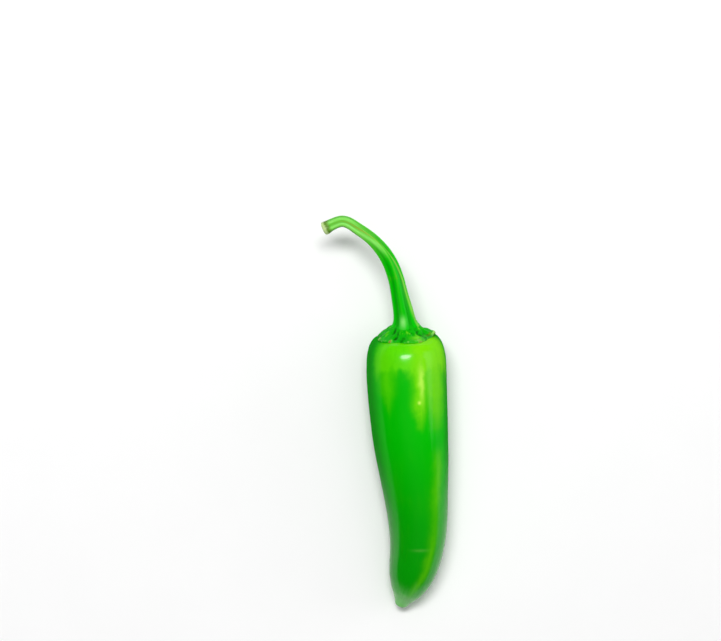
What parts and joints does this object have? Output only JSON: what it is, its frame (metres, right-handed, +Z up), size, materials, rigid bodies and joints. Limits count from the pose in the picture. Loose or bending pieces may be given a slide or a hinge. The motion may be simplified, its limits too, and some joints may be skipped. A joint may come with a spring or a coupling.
{
  "type": "serrano pepper",
  "caption": "Whole fresh serrano pepper lying on its side: tapering glossy green pod, ribbed calyx and curved stem with a dry cut end.",
  "frame": {"origin": "on the resting surface, under the middle of the whole pepper", "axes": "+Z up; +Y along the pod from its tip towards the stem; +X to the right, seen from above with the stem at the top"},
  "size_m": [0.0316, 0.0988, 0.0199],
  "materials": {
    "pod_skin": "gloss",
    "calyx_skin": "satin",
    "stem_skin": "satin"
  },
  "bodies": {
    "root": {"pod": "pod_skin", "calyx": "calyx_skin", "stem": "stem_skin"}
  },
  "joints": []
}
